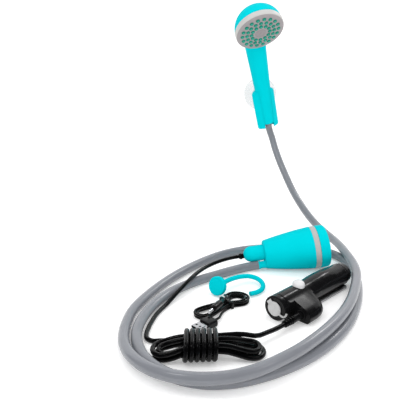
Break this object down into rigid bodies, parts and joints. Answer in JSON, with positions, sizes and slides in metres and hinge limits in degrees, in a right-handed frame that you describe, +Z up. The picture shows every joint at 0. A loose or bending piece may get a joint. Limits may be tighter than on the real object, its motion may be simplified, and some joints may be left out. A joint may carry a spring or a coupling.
{
  "type": "camp shower pump",
  "caption": "Portable camp shower: tapered electric pump with strainer, coiled hose, hand shower in a suction-cup holder, battery pack on a lead, hook and charging lead.",
  "frame": {"origin": "on the floor, under the middle of the kit's box without its cords", "axes": "+Z up, +Y from the hose coil towards the hand shower and the suction cup's rim, +X to the pump's inlet side"},
  "size_m": [0.2909, 0.5848, 0.3591],
  "materials": {
    "cyan_plastic": "satin moulded",
    "pale_plastic": "satin moulded",
    "grey_plastic": "matt moulded",
    "steel": "plain",
    "black_rubber": "satin",
    "hose_vinyl": "satin",
    "teal_rubber": "matt",
    "clear_vinyl": "clear soft vinyl",
    "black_plastic": "gloss",
    "cell_wrap": "shrink wrap",
    "board": "solder mask"
  },
  "bodies": {
    "kit": {"pump_body": "cyan_plastic", "handset_body": "cyan_plastic", "pump_band": "pale_plastic", "face_ring": "pale_plastic", "chamber_plate": "grey_plastic", "spray_plate": "grey_plastic", "backing_plate": "grey_plastic", "centre_cap": "grey_plastic", "handle_barb": "grey_plastic", "switch_block": "grey_plastic", "chamber_screws": "steel", "motor_can": "steel", "plate_screw": "steel", "dc_plug_tip": "steel", "button_spring": "steel", "cell_contacts": "steel", "belt_clip": "steel", "body_seal": "black_rubber", "shaft_seal": "black_rubber", "cable_gland": "black_rubber", "head_seal": "black_rubber", "plug_relief": "black_rubber", "motor_lead": "black_rubber", "power_cord_run": "black_rubber", "power_cord_hank": "black_rubber", "power_cord_tail": "black_rubber", "hose_coil": "hose_vinyl", "hose_riser": "hose_vinyl", "nozzle_mat": "teal_rubber", "dc_plug": "black_plastic", "pack_shell": "black_plastic", "pack_bezel": "black_plastic", "front_plate": "black_plastic", "tail_cap": "black_plastic", "charge_jack": "black_plastic", "output_jack": "black_plastic", "battery_cells": "cell_wrap", "control_board": "board"},
    "impeller": {"impeller": "pale_plastic", "motor_shaft": "steel"},
    "strainer_cap": {"strainer_cap": "cyan_plastic", "filter_screen": "grey_plastic"},
    "holder": {"holder_clip": "cyan_plastic", "tilt_pin": "steel"},
    "suction_cup": {"suction_cup": "clear_vinyl", "cup_stud": "clear_vinyl"},
    "power_button": {"power_button": "pale_plastic"},
    "port_cover": {"port_cover": "pale_plastic"},
    "hook": {"hook": "cyan_plastic"},
    "charge_lead": {"charge_lead_hank": "black_rubber", "charge_lead_start": "black_rubber", "charge_lead_end": "black_rubber", "lead_tie": "black_rubber", "usb_plug_body": "black_plastic", "usb_plug_shell": "steel", "charge_plug_body": "black_plastic", "charge_plug_tip": "steel"}
  },
  "joints": [
    {"name": "impeller_spin", "type": "hinge", "parent": "kit", "child": "impeller", "pos_m": [0.0584, -0.0718, 0.02921], "axis": [0.9889, 0.0345, 0.1446], "continuous": true},
    {"name": "cap_twist", "type": "hinge", "parent": "kit", "child": "strainer_cap", "pos_m": [0.06631, -0.07153, 0.03037], "axis": [0.9889, 0.0345, 0.1446], "range_deg": [0, 30]},
    {"name": "holder_slide", "type": "slide", "parent": "kit", "child": "holder", "axis": [0.2167, 0.2079, -0.9538], "range_m": [0, 0.02]},
    {"name": "cup_tilt", "type": "hinge", "parent": "holder", "child": "suction_cup", "pos_m": [0.01121, 0.20911, 0.2148], "axis": [0.9751, 0, 0.2215], "range_deg": [-20, 20]},
    {"name": "button_press", "type": "slide", "parent": "kit", "child": "power_button", "axis": [0, 0, -1], "range_m": [0, 0.001], "stiffness_N_per_m": 300, "deforming": ["button_spring"]},
    {"name": "cover_flip", "type": "hinge", "parent": "kit", "child": "port_cover", "pos_m": [-0.02456, -0.21484, 0.02135], "axis": [-0.4912, 0.5086, -0.7071], "range_deg": [0, 100]},
    {"name": "hook_lift", "type": "slide", "parent": "kit", "child": "hook", "axis": [0, 0, 1], "range_m": [0, 0.03]},
    {"name": "lead_lift", "type": "slide", "parent": "kit", "child": "charge_lead", "axis": [0, 0, 1], "range_m": [0, 0.03]}
  ]
}
